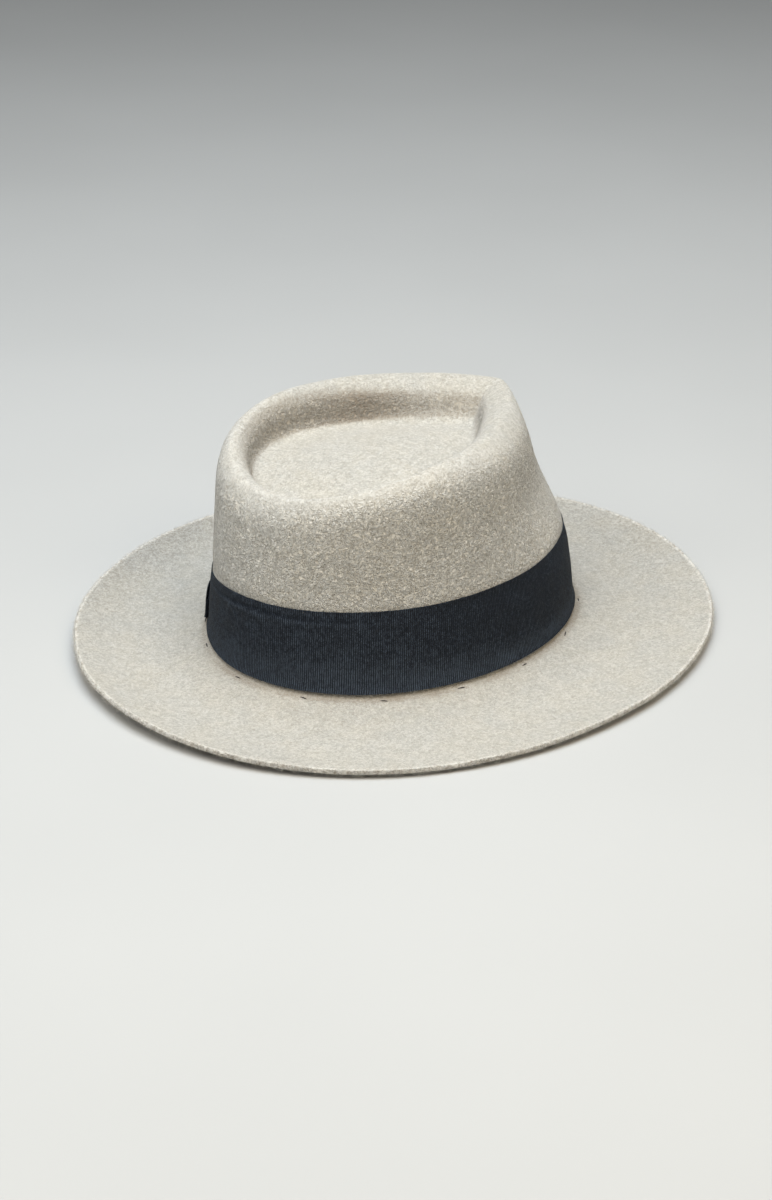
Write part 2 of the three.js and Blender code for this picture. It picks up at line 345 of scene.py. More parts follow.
def lay_out_weave(piece):
    """Keeps the flat piece's x and y as its only UV map, in metres, so that the weave follows the ribbon."""
    layers = piece.data.uv_layers
    while layers:
        layers.remove(layers[0])
    layer = layers.new(name="weave")
    for loop in piece.data.loops:
        place = piece.data.vertices[loop.vertex_index].co
        layer.data[loop.index].uv = (place.x, place.y)


def strip_for(name, path, width, rows):
    """A flat strip as long as a path, its length and, for each vertex, its row and its place on the path."""
    length = sum(math.dist(here, there) for here, there in zip(path, path[1:]))
    piece = flat_strip(name, length, width, len(path) - 1, rows)
    lay_out_weave(piece)
    flat = places(piece)
    columns = np.round(flat[:, 0] / length * (len(path) - 1)).astype(int)
    return piece, length, flat, [path[column] for column in columns]


def edge_sway(wall, start, along, share):
    """A real band's edges wander a little, and the top one dips beside the bow. The share is 1 at the top."""
    dip, dip_bearing, dip_spread = 0.0090, 136, 33
    turn = along / wall.round_it * math.tau
    top = 0.00022 * np.sin(3 * turn + 0.6) + 0.00012 * np.sin(7 * turn + 2.0)
    low = 0.00018 * np.sin(2 * turn + 1.4) + 0.0001 * np.sin(5 * turn)
    top = top - dip * bump_at(np.degrees(wall.bearing_of(start + along)), dip_bearing, dip_spread)
    upper = share ** 1.3
    return top * upper + low * (1 - upper)


# Materials

class Net:
    """A node tree that is being drawn up, for a material or a group. Its nodes are laid out in columns."""

    nodes_in_column = 6
    spacing = 220

    def __init__(self, tree):
        self.tree = tree
        self.shader = tree.nodes.get("Principled BSDF")

    def add(self, kind, **values):
        """A new node, with its own settings and the constants of its sockets."""
        column, row = divmod(len(self.tree.nodes), self.nodes_in_column)
        node = self.tree.nodes.new(kind)
        node.location = (column * self.spacing, -row * self.spacing)
        for name, value in values.items():
            if name in node.inputs:
                self.feed(node.inputs[name], value)
            else:
                setattr(node, name, value)
        return node

    def feed(self, socket, value):
        """Feeds a socket with another socket, a colour or a number."""
        if isinstance(value, bpy.types.NodeSocket):
            self.tree.links.new(value, socket)
        elif socket.type == "RGBA":
            socket.default_value = (*value[:3], 1)
        else:
            socket.default_value = value

    def surface(self, values):
        for name, value in values.items():
            self.feed(self.shader.inputs[name], value)

    def maths(self, operation, *values, clamp=False):
        node = self.add("ShaderNodeMath", operation=operation, use_clamp=clamp)
        for socket, value in zip(node.inputs, values):
            self.feed(socket, value)
        return node.outputs[0]

    def plus(self, first, second, clamp=False):
        return self.maths("ADD", first, second, clamp=clamp)

    def minus(self, first, second):
        return self.maths("SUBTRACT", first, second)

    def times(self, first, second):
        return self.maths("MULTIPLY", first, second)

    def over(self, first, second):
        return self.maths("DIVIDE", first, second)

    def wave(self, turns):
        """A sine between 0 and 1."""
        return self.maths("MULTIPLY_ADD", self.maths("SINE", self.times(turns, math.tau)), 0.5, 0.5)

    def blend(self, share, first, second):
        """Mixes two colours by a share. Each may be a value or a socket."""
        node = self.add("ShaderNodeMix", data_type="RGBA")
        colours = [socket for socket in node.inputs if socket.type == "RGBA"]
        for socket, value in zip([node.inputs[0], *colours], (share, first, second)):
            self.feed(socket, value)
        return next(socket for socket in node.outputs if socket.type == "RGBA")

    def tint(self, colour, share):
        node = self.add("ShaderNodeVectorMath", operation="SCALE", Vector=colour, Scale=share)
        return node.outputs["Vector"]

    def band_of(self, value, low, high, to_low=0.0, to_high=1.0):
        """Spreads the part of a value between low and high over to_low to to_high, smoothly."""
        node = self.add("ShaderNodeMapRange", interpolation_type="SMOOTHSTEP", Value=value)
        for name, end in (("From Min", low), ("From Max", high), ("To Min", to_low), ("To Max", to_high)):
            node.inputs[name].default_value = end
        return node.outputs["Result"]

    def clouds(self, place, **values):
        return self.add("ShaderNodeTexNoise", Vector=place, **values).outputs["Fac"]

    def bump(self, height, strength, distance):
        node = self.add("ShaderNodeBump", Height=height, Strength=strength, Distance=distance)
        return node.outputs["Normal"]

    def attribute(self, name):
        return self.add("ShaderNodeAttribute", attribute_name=name).outputs["Fac"]

    def in_millimetres(self, place=None):
        """A place in millimetres, the piece's own unless another is given."""
        if place is None:
            place = self.add("ShaderNodeTexCoord").outputs["Object"]
        return self.add("ShaderNodeMapping", Vector=place, Scale=TO_MILLIMETRES).outputs["Vector"]

    def use(self, tree, place, **values):
        """Sets a node group on a place, with its own values, and gives its outputs."""
        values = {name.capitalize(): value for name, value in values.items()}
        return self.add("ShaderNodeGroup", node_tree=tree, Vector=place, **values).outputs


def material(name):
    made = bpy.data.materials.new(name)
    made.use_nodes = True
    return made, Net(made.node_tree)


def node_group(name, inputs, outputs):
    """Turns a drawing function into one that gives its node group, drawn up the first time. The group
    has a Vector input, number inputs with their usual values, and number outputs."""
    def given_by(draw):
        def group():
            tree = bpy.data.node_groups.get(name)
            if tree is None:
                tree = bpy.data.node_groups.new(name, "ShaderNodeTree")
                add = tree.interface.new_socket
                add("Vector", in_out="INPUT", socket_type="NodeSocketVector")
                for label, value in inputs.items():
                    add(label, in_out="INPUT", socket_type="NodeSocketFloat").default_value = value
                for label in outputs:
                    add(label, in_out="OUTPUT", socket_type="NodeSocketFloat")
                net = Net(tree)
                draw(net, net.add("NodeGroupInput").outputs, net.add("NodeGroupOutput").inputs)
            return tree
        return group
    return given_by


@node_group("wool_curls", {"Size": 1.6, "Width": 0.06, "Cover": 0.5, "Seed": 0.0}, ["Curls"])
def curl_group(net, given, made):
    """Short curled fibres that lie in every direction, from a place in millimetres."""
    seed_of_gaps = 9.0
    common = {"noise_dimensions": "4D", "Scale": net.over(1.0, given["Size"])}
    lines = net.clouds(given["Vector"], **common, W=net.plus(given["Seed"], 0.0), Detail=1.0, Distortion=0.9)
    gaps = net.clouds(given["Vector"], **common, W=net.plus(given["Seed"], seed_of_gaps), Detail=0.0)
    across = net.over(net.maths("ABSOLUTE", net.minus(lines, 0.5)), given["Width"])
    drawn = net.band_of(across, 0.0, 1.0, 1.0, 0.0)
    kept = net.band_of(net.minus(gaps, given["Cover"]), -0.05, 0.05)
    net.feed(made["Curls"], net.times(drawn, kept))


@node_group("lint_specks", {"Spacing": 6.0, "Size": 0.3, "Share": 0.4}, ["Specks"])
def speck_group(net, given, made):
    """Sparse small specks of lint or dust, from a place in millimetres."""
    cells = net.add("ShaderNodeTexVoronoi", Vector=given["Vector"], Scale=net.over(1.0, given["Spacing"]))
    reach = net.times(cells.outputs["Distance"], given["Spacing"])
    near = net.maths("LESS_THAN", reach, given["Size"])
    chance = net.add("ShaderNodeSeparateColor", Color=cells.outputs["Color"]).outputs["Red"]
    net.feed(made["Specks"], net.times(near, net.maths("LESS_THAN", chance, given["Share"])))


@node_group("grosgrain_ribs", {"Pitch": 0.85, "Thread": 0.16}, ["Ribs", "Threads"])
def rib_group(net, given, made):
    """Grosgrain from a weave map in millimetres: ribs across the ribbon and fine threads along it."""
    place = net.add("ShaderNodeSeparateXYZ", Vector=given["Vector"]).outputs
    drift = net.times(net.clouds(given["Vector"], Scale=0.35, Detail=1.0), 0.5)
    turns = net.over(net.plus(place["X"], drift), given["Pitch"])
    net.feed(made["Ribs"], net.wave(turns))
    staggered = net.plus(net.over(place["Y"], given["Thread"]), net.times(net.maths("FLOOR", turns), 0.5))
    net.feed(made["Threads"], net.wave(staggered))


def felt_material(felt):
    made, net = material("taupe_wool_felt")
    place = net.in_millimetres()
    nap, cut_edge = net.attribute("nap"), net.attribute("cut_edge")

    def curls(**values):
        return net.use(curl_group(), place, **values)["Curls"]

    pale = curls(size=1.7, width=0.11, cover=0.46, seed=1.0)
    fine = curls(size=1.1, width=0.10, cover=0.47, seed=51.0)
    dark = curls(size=1.5, width=0.12, cover=0.47, seed=23.0)
    patch = net.clouds(place, Scale=0.045, Detail=3.0, Roughness=0.6)
    mottle = net.clouds(place, Scale=0.28, Detail=3.0, Roughness=0.6)
    cool = [part * change for part, change in zip(felt.colour, (0.965, 0.985, 1.02))]
    ground = net.blend(net.band_of(patch, 0.35, 0.65), felt.colour, cool)
    # Painted shade: felt that faces up, and the brim more, is made darker than the walls, and the shade
    # attribute darkens the outer brim further; the mottle is the wool's own uneven tone.
    light = net.times(net.band_of(mottle, 0.3, 0.7, 0.91, 1.08), net.band_of(nap, 0.3, 1.0, 0.67, 1.045))
    light = net.times(light, net.minus(1.0, net.attribute("shade")))
    colour = net.tint(ground, light)
    # The mixed fibres are drawn stronger where the felt does not face up, following the same painted shade
    # values.
    for strands, share, fibre in ((dark, 0.60, felt.dark_fibre), (fine, 0.42, felt.pale_fibre),
                                  (pale, 0.62, felt.pale_fibre)):
        colour = net.blend(net.times(net.times(strands, share), nap), colour, fibre)
    lint = net.use(speck_group(), place, spacing=6.0, size=0.2, share=0.14)["Specks"]
    colour = net.blend(net.times(lint, 0.8), colour, (0.93, 0.92, 0.89))
    # Dark brown for the painted shadow and dirt under the ribbon and the painted shade on the recess wall.
    colour = net.blend(net.times(net.attribute("soil"), 0.75), colour, (0.20, 0.155, 0.11))
    # Painted highlight: the cut edge and the crest are made paler, except on the dark fibres.
    painted_highlight = net.times(net.minus(1.0, dark), cut_edge)
    colour = net.blend(net.times(painted_highlight, 0.5), colour, felt.pale_fibre)
    flecks = net.times(curls(size=2.6, width=0.11, cover=0.5, seed=77.0), cut_edge)
    colour = net.blend(net.times(flecks, 0.6), colour, (0.27, 0.215, 0.16))
    height = net.minus(net.plus(pale, net.times(fine, 0.6)), net.times(dark, 0.6))
    height = net.plus(height, net.times(mottle, 2.0))
    net.surface({
        "Base Color": colour, "Normal": net.bump(height, nap, 0.0008),
        "Roughness": 0.95, "Specular IOR Level": 0.12,
        "Sheen Weight": 0.4, "Sheen Roughness": 0.5, "Sheen Tint": (0.95, 0.93, 0.88)})
    return made


def fuzz_material(felt):
    made, net = material("loose_wool_fibre")
    tone = net.clouds(net.in_millimetres(), Scale=1.4, Detail=1.0)
    colour = net.blend(net.band_of(tone, 0.35, 0.65, 0.0, 0.7), felt.colour, felt.pale_fibre)
    net.surface({"Base Color": colour, "Roughness": 0.7, "Specular IOR Level": 0.3})
    return made


def ribbon_material(ribbon):
    made, net = material(RIBBON_CLOTH)
    place = net.in_millimetres()
    weave = net.in_millimetres(net.add("ShaderNodeUVMap", uv_map="weave").outputs["UV"])
    ribs = net.use(rib_group(), weave, pitch=ribbon.rib_pitch * TO_MILLIMETRES[0])
    cloud = net.clouds(place, Scale=0.09, Detail=4.0, Roughness=0.6)
    mottle = net.clouds(place, Scale=0.55, Detail=4.0, Roughness=0.7)
    dust = net.clouds(place, Scale=2.6, Detail=2.0, Roughness=0.7)
    # Share of the lighter colour: dust and painted highlight where the attribute is high, painted shade where
    # it is low, and dust and uneven tone from the clouds.
    lightened = net.plus(net.times(net.attribute("worn"), 0.7), net.band_of(cloud, 0.4, 0.75, -0.08, 0.2))
    lightened = net.plus(lightened, net.band_of(mottle, 0.36, 0.66, -0.2, 0.35))
    lightened = net.plus(lightened, net.band_of(dust, 0.4, 0.7, -0.25, 0.5), clamp=True)
    colour = net.blend(lightened, ribbon.colour, ribbon.dust_and_highlight_colour)
    # Painted shade in the grooves between the ribs.
    colour = net.blend(net.times(net.minus(1.0, ribs["Ribs"]), 0.92), colour, (0.003, 0.004, 0.006))
    lint = net.use(speck_group(), place, spacing=7.0, size=0.28, share=0.3)["Specks"]
    colour = net.blend(net.times(lint, 0.55), colour, (0.22, 0.20, 0.17))
    height = net.plus(ribs["Ribs"], net.times(ribs["Threads"], 0.3))
    height = net.plus(height, net.times(dust, 1.5))
    net.surface({
        "Base Color": colour, "Normal": net.bump(height, 1.0, 0.0003),
        "Roughness": net.band_of(cloud, 0.3, 0.7, 0.62, 0.78), "Specular IOR Level": 0.13,
        "Sheen Weight": 0.05, "Sheen Roughness": 0.5, "Sheen Tint": (0.42, 0.52, 0.66)})
    return made


def thread_material():
    made, net = material("dark_tacking_thread")
    twist = net.clouds(net.in_millimetres(), Scale=3.0, Detail=2.0)
    colour = net.blend(net.band_of(twist, 0.35, 0.65), (0.012, 0.011, 0.012), (0.05, 0.04, 0.035))
    net.surface({"Base Color": colour, "Normal": net.bump(twist, 0.6, 0.0001), "Roughness": 0.75})
    return made


def floor_material(stage):
    made, net = material("pale_studio_floor")
    cloud = net.clouds(net.in_millimetres(), Scale=0.004, Detail=2.0)
    lighter = Vector(stage.floor_colour) * 1.03
    colour = net.blend(net.band_of(cloud, 0.3, 0.7), stage.floor_colour, lighter)
    net.surface({"Base Color": colour, "Roughness": 0.9})
    return made


# The pieces

class FEDORA_OT_felt(bpy.types.Operator):
    """Crown and brim: the CAD shell, merged, smoothed, a little uneven, flat where it rests"""
    bl_idname = "fedora.felt"
    bl_label = "Felt crown and brim"

    outer_brim = 1.5  # share of the oval beyond which the brim's cut edge lies
    square_fold = math.radians(50)
    recess_middle, recess_radius, recess_low = Vector((0, 0.011)), 0.02, 0.09

    def execute(self, context):
        felt = context.scene.fedora_felt
        piece = copy_of_node("felt_body", FELT)
        pick(piece, "edges", self.on_cut_edge)
        bpy.ops.transform.edge_crease(value=felt.edge_sharpness)
        leave_edit()
        finish_with(piece, "SUBSURF", levels=felt.smoothing, render_levels=felt.smoothing)
        # The shell's sections run together in the recess floor's middle, so it is levelled.
        pick(piece, "verts", self.in_recess)
        bpy.ops.mesh.vertices_smooth(factor=0.5, repeat=12)
        leave_edit()
        swell = bpy.data.textures.new("felt_swell", "CLOUDS")
        swell.cloud_type = "COLOR"
        swell.noise_scale = felt.unevenness_size
        swell.noise_depth = 2
        finish_with(piece, "DISPLACE", texture=swell, texture_coords="LOCAL", direction="RGB_TO_XYZ",
                    strength=felt.unevenness, mid_level=0.5)
        rows = self.seated(places(piece), felt.seat_depth)
        rows[:, 2] = np.maximum(rows[:, 2], 0)
        set_places(piece, rows)
        self.mark(piece)
        smooth_faces(piece, 60)
        belongs(piece, felt_material(felt), "wool_felt", "felt_body")
        return {"FINISHED"}

    def on_cut_edge(self, edge):
        x, y, _ = (edge.verts[0].co + edge.verts[1].co) / 2
        square = len(edge.link_faces) == 2 and edge.calc_face_angle() > self.square_fold
        return square and oval_share(x, y) > self.outer_brim

    def in_recess(self, vertex):
        near = (vertex.co.xy - self.recess_middle).length < self.recess_radius
        return near and vertex.co.z > self.recess_low

    def seated(self, rows, depth):
        """The wall is pressed in under the tight ribbon, and swells a little just above it."""
        low, high = BAND_LOW.z, BAND_HIGH.z
        on_wall = oval_share(rows[:, 0], rows[:, 1]) > 0.82
        pressed = eased(rows[:, 2], low, low + 0.004) * (1 - eased(rows[:, 2], high - 0.0012, high + 0.0006))
        swollen = 0.45 * hump(rows[:, 2], high + 0.0028, 0.0024)
        out = rows[:, :2] - np.array(BAND_MIDDLE.xy)
        out /= np.maximum(np.linalg.norm(out, axis=1), 1e-6)[:, None]
        rows[:, :2] += out * (depth * on_wall * (swollen - pressed))[:, None]
        return rows

    def mark(self, piece):
        """Marks dirt with painted shadow and shade, the lie of the fibres with painted shade where the felt
        faces up, the cut edge and crest for a painted highlight, and painted shade on the outer brim.
        """
        rows = places(piece)
        x, y, z = rows.T
        facing = places(piece, "normal")
        up = facing[:, 2]
        share = oval_share(x, y)
        from_foot = (share - 1) * FELT_RADIUS
        from_edge = from_brim_edge(rows)
        bearing = np.degrees(np.arctan2(x, -y))

        # Painted shadow with some dirt along the ribbon's lower edge, and painted shade on the recess wall,
        # deepest towards the front on the wearer's left.
        patchy = [0.55 + 0.45 * noise.noise(Vector(row) * 70) for row in rows]
        line = hump(from_foot, 0.0008, 0.0022) * (z < 0.012) * (z > 0.002) * patchy
        inward = (BAND_MIDDLE.x - x) * facing[:, 0] + (BAND_MIDDLE.y - y) * facing[:, 1] > 0
        recess_wall = eased(1 - up, 0.15, 0.5) * inward * (up > -0.2) * (z > 0.084)
        deeper_shade_far_wall = 0.5 + 0.5 * hump(x, 0.039, 0.018) * hump(y, -0.012, 0.026)
        keep_values(piece, "soil", np.clip(line + recess_wall * deeper_shade_far_wall, 0, 1))

        # Lower on felt that faces up and lower still on the brim: the material turns this into painted shade,
        # and it also sets how strongly the fibres and the bump show.
        keep_values(piece, "nap", 0.42 + 0.58 * eased(1 - up, 0.15, 0.85) - 0.06 * (from_foot > 0.004))
        # Painted highlight on the crown's crest and the brim's cut edge, which the material makes paler and
        # flecks with brown wool.
        crest = 0.32 * hump(share, 0.82, 0.12) * (z > 0.088) * eased(up, 0.4, 0.9)
        keep_values(piece, "cut_edge", np.maximum(1 - eased(from_edge, 0.0012, 0.0024), crest))
        # Painted shade on the outer brim on the bow's side and on the brim at the front.
        bow_side = 0.30 * hump(from_edge, 0, 0.022) * bump_at(bearing, 105, 40)
        front = 0.12 * eased(from_foot, 0.02, 0.05) * bump_at(bearing, 2, 32)
        keep_values(piece, "shade", bow_side + front)


class FEDORA_OT_ribbon(bpy.types.Operator):
    """The grosgrain band: a flat strip with faint creases and flare, wrapped round the crown and thickened"""
    bl_idname = "fedora.ribbon"
    bl_label = "Ribbon band"

    columns, rows = 620, 44
    foot_gap, least_gap = 0.0004, 0.00012
    nearest, right_front = 215, 288  # bearings where the band is made lightest and where its painted shade is deepest
    # Small slant folds near the top edge: bearing, distance below it, and slant in degrees a millimetre.
    folds = ((170.0, 0.011, 0.5), (176.0, 0.008, -0.35), (184.0, 0.0095, 0.6))
    # Soft rolls where the band is loose: distance below the top edge, spread, height, wander.
    rolls = ((0.0046, 0.0006, -0.00055, 0.0008), (0.0068, 0.0030, 0.00055, 0), (0.0018, 0.0010, 0.00030, 0))

    def execute(self, context):
        ribbon, bow = context.scene.fedora_ribbon, context.scene.fedora_bow
        wall = Wall(piece_called(FELT))
        foot = BAND_LOW.z + self.foot_gap
        width = BAND_HIGH.z - foot
        piece = flat_strip("ribbon_band_cloth", wall.round_it, width, self.columns, self.rows)
        lay_out_weave(piece)
        start = wall.along_of(bow.bearing)
        flat = places(piece)
        along, up = flat[:, 0].copy(), flat[:, 1].copy()
        bearing = np.degrees(wall.bearing_of(start + along))
        # Dust and painted highlight and shade on the band, for the material.
        keep_values(piece, "worn", self.dust_and_painted_light(bearing, up, width - up))
        flat[:, 2] = self.relief(bearing, along / wall.round_it * math.tau, up, width - up, ribbon)
        flat[:, 1] += foot + edge_sway(wall, start, along, up / width)
        set_places(piece, flat)
        wrap(piece, wall, start)
        close_up(piece, 0.00005)
        thicken(piece, ribbon.thickness)
        belongs(piece, ribbon_material(ribbon), "grosgrain", "ribbon_band")
        return {"FINISHED"}

    def on_folds(self, bearing, from_top, width, height):
        """1 along each slant fold, for folds of a width in degrees and a height."""
        return sum(
            hump(bearing, at + slant * from_top * 1000, width) * hump(from_top, below, height)
            for at, below, slant in self.folds)

    def relief(self, bearing, turn, up, from_top, ribbon):
        """How far the band's inner face stands off the felt at each place on the flat strip."""
        lean = np.maximum(1 - up / 0.009, 0)
        tight = 0.25 + 0.75 * eased(from_top, 0.0, 0.012)
        flared = ribbon.flare * lean * lean * (0.75 + 0.25 * np.sin(4 * turn + 1))
        rolled = bump_at(bearing, 182, 26) * sum(
            height * hump(from_top, below + wander * np.sin(turn * 9), spread)
            for below, spread, height, wander in self.rolls)
        folded = 0.00040 * self.on_folds(bearing, from_top, 0.7, 0.0045)
        ring = np.stack((np.sin(turn), np.cos(turn), up * 30), axis=1) * 6
        swell = 0.00010 * np.array([noise.noise(Vector(place)) for place in ring])
        return np.maximum(ribbon.standoff * tight + flared + rolled + swell + folded, self.least_gap)

    def dust_and_painted_light(self, bearing, up, from_top):
        """How light the band is made: dust near its foot, most round its lightest bearing, which is also
        lifted as a whole; a painted highlight on the flared lower part at the front right; painted shade at
        the front right, which is left unlifted; painted shade and highlight on the loose rolls; and lighter
        lines along the slant folds.
        """
        foot = 0.95 * hump(np.maximum(up - 0.004, 0), 0, 0.010)
        foot *= 0.35 + 0.65 * bump_at(bearing, self.nearest, 50)
        # Painted highlight on the flared lower part at the front right.
        front = 0.5 * hump(up, 0.0045, 0.0035) * bump_at(bearing, 290, 40)
        rear = 0.20 * bump_at(bearing, self.nearest, 45)
        # Painted shade: all but the front right is lifted.
        lightened = 0.28 * (1 - bump_at(bearing, self.right_front, 42))
        # Painted highlight on the bulge of the loose rolls and painted shade in their dip.
        crease = 0.45 * hump(from_top, 0.0068, 0.0008) - 0.8 * hump(from_top, 0.0046, 0.0008)
        scuffs = 0.5 * self.on_folds(bearing, from_top, 0.5, 0.004)
        return np.clip(foot + front + rear + lightened + crease * bump_at(bearing, 188, 34) + scuffs, 0, 1)


class FEDORA_OT_bow(bpy.types.Operator):
    """The flat bow: a slant-cut tail, a pair of pressed loops and a knot, wrapped on the band"""
    bl_idname = "fedora.bow"
    bl_label = "Flat bow"

    clearance = 0.0001

    def execute(self, context):
        self.ribbon = context.scene.fedora_ribbon
        self.bow = context.scene.fedora_bow
        self.wall = Wall(piece_called(FELT))
        self.start = self.wall.along_of(self.bow.bearing)
        self.under = self.ribbon.standoff + self.ribbon.thickness + self.clearance
        self.tail()
        self.loops()
        self.knot()
        return {"FINISHED"}

    def finish(self, piece, node, flat, **more):
        wrap(piece, self.wall, self.start)
        thicken(piece, self.ribbon.thickness)
        belongs(piece, bpy.data.materials[RIBBON_CLOTH], "grosgrain", node)

    def tail(self):
        bow = self.bow
        inset, lift, columns, rows = 0.0003, 0.0009, 60, 36
        low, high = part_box("bow_tail")
        width = high.z - low.z
        length = bow.tail_reach - bow.tail_start
        piece = flat_strip("bow_tail_cloth", length, width, columns, rows)
        slant = Vector((-bow.tail_slant, width, 0)).normalized()
        cut(piece, (length, 0, 0), (slant.y, -slant.x, 0), clear_outer=True)
        lay_out_weave(piece)
        flat = places(piece)
        flat[:, 0] += bow.tail_start
        flat[:, 2] = self.under + self.clearance + lift * np.clip(flat[:, 0] / bow.tail_reach, 0, 1) ** 6
        flat[:, 1] = inset + np.clip(flat[:, 1], 0, width) * (1 - 2 * inset / width)
        flat[:, 1] += low.z + edge_sway(self.wall, self.start, flat[:, 0], flat[:, 1] / width)
        set_places(piece, flat)
        self.finish(piece, "bow_tail", (width, length), area=width * (length - bow.tail_slant / 2))

    def loops(self):
        """Both loops are one closed strip, pressed flat: two layers that meet at small round folds."""
        bow = self.bow
        radius, steps, fold_steps, rows = 0.0004, 48, 6, 22
        base = self.under + self.ribbon.thickness + 0.0002
        straight = bow.half_length - radius
        path = []
        for side in (1, -1):
            outer = side < 0
            for step in range(steps):
                along = side * straight * (2 * step / steps - 1)
                puff = outer * 0.0007 * math.sin(math.pi * self.from_knot(along)) ** 2
                path.append((along, base + outer * 2 * radius + puff))
            for step in range(fold_steps):
                turn = math.pi * (step / fold_steps + outer)
                path.append((side * straight + radius * math.sin(turn), base + radius * (1 - math.cos(turn))))
        path.append(path[0])
        piece, length, flat, on_path = strip_for("bow_loops_cloth", path, bow.loop_height, rows)
        for row, (along, off) in zip(flat, on_path):
            share = self.from_knot(along)
            rounding = 1 - 0.42 * (max(share - 0.8, 0) / 0.2) ** 2
            reach = (bow.waist_height + (bow.loop_height - bow.waist_height) * eased(share, 0, 1)) * rounding
            across = row[1] / bow.loop_height - 0.5
            gathered = 0.00035 * hump(abs(along), bow.knot_width / 2, 0.008) * math.cos(across * 5 * math.pi)
            on_outer = off > base + 1.5 * radius
            row[:] = along, bow.height + across * reach, off + on_outer * gathered
        set_places(piece, flat)
        close_up(piece, 0.00002)
        self.finish(piece, "bow_loops", (bow.loop_height, length))

    def from_knot(self, along):
        """0 at the knot's side and 1 at a loop's end."""
        side = self.bow.knot_width / 2
        return min(max(abs(along) - side, 0) / (self.bow.half_length - side), 1)

    def knot(self):
        bow = self.bow
        rows, corner = 10, 0.0014
        low = self.under + 0.0004
        high = low + 3 * self.ribbon.thickness + 0.0017
        reach = bow.waist_height / 2 + 0.0012
        path = [(-reach, low), (-reach, high - corner)]
        for turn in (150, 120, 90):
            across, up = math.cos(math.radians(turn)), math.sin(math.radians(turn))
            path.append((corner - reach + corner * across, high - corner + corner * up))
        path += [(-reach * 0.5, high + 0.0001), (0, high + 0.0002)]
        path += [(-up, off) for up, off in reversed(path[:-1])]
        piece, length, flat, on_path = strip_for("bow_knot_cloth", path, bow.knot_width, rows)
        for row, (up, off) in zip(flat, on_path):
            across = row[1] - bow.knot_width / 2
            pinched = across * (1 - 0.12 * math.cos(up / reach * math.pi / 2))
            row[:] = pinched, bow.height + up, off + 0.00015 * math.cos(across / bow.knot_width * 6 * math.pi)
        set_places(piece, flat)
        close_up(piece)
        self.finish(piece, "bow_knot", (bow.knot_width, length))


class FEDORA_OT_tacks(bpy.types.Operator):
    """Small tack stitches in dark thread on the felt, just under the ribbon"""
    bl_idname = "fedora.tacks"
    bl_label = "Tack stitches"

    first_bearing = math.radians(230.5)
    thread_radius, from_ribbon = 0.00036, 0.0028
    shortest, longest = 0.0036, 0.0052

    def execute(self, context):
        ribbon = context.scene.fedora_ribbon
        wall = Wall(piece_called(FELT))
        count = round(wall.round_it / ribbon.tack_spacing)
        stitches = []
        for i in range(count):
            bearing = wall.bearing_of(wall.along_of(self.first_bearing) + i * wall.round_it / count)
            out = wall.outward(bearing)
            edge, _ = wall.hit(bearing, BAND_LOW.z + 0.001)
            above = edge + out * (self.from_ribbon + 0.0004 * math.sin(5.1 * i))
            above.z = BAND_HIGH.z
            place, normal, _, _ = wall.tree.ray_cast(above, Vector((0, 0, -1)))
            length = self.shortest + (self.longest - self.shortest) * (0.5 + 0.5 * math.sin(2.7 * i))
            stitches.append(self.stitch(i, place, normal, out, length, 0.18 * math.sin(3.3 * i)))
        bpy.ops.object.select_all(action="DESELECT")
        for stitch in stitches:
            stitch.select_set(True)
        context.view_layer.objects.active = stitches[0]
        bpy.ops.object.join()
        piece = context.active_object
        piece.name = "ribbon_tack_stitches"
        smooth_faces(piece, 60)
        belongs(piece, thread_material(), "grosgrain")
        return {"FINISHED"}

    def stitch(self, index, place, normal, out, length, twist):
        """One short bent stitch, its ends sunk in the felt."""
        bpy.ops.mesh.primitive_cylinder_add(
            vertices=8, radius=self.thread_radius, depth=length, end_fill_type="NGON")
        piece = new_piece(f"stitch_{index}")
        for share in (0, -0.3, 0.3):
            cut(piece, (0, 0, share * length), (0, 0, 1))
        side = (normal.cross(out).normalized() + out * twist).normalized()
        across = normal.cross(side).normalized()
        bent = []
        for x, y, z in places(piece):
            share = z / (length / 2)
            thin = 1 - 0.45 * share * share
            rise = 0.00022 - 0.0005 * share * share
            bent.append(place + across * x * thin + normal * (y * thin + rise) + side * z)
        set_places(piece, bent)
        finish_with(piece, "SUBSURF", levels=1, render_levels=1)
        return piece


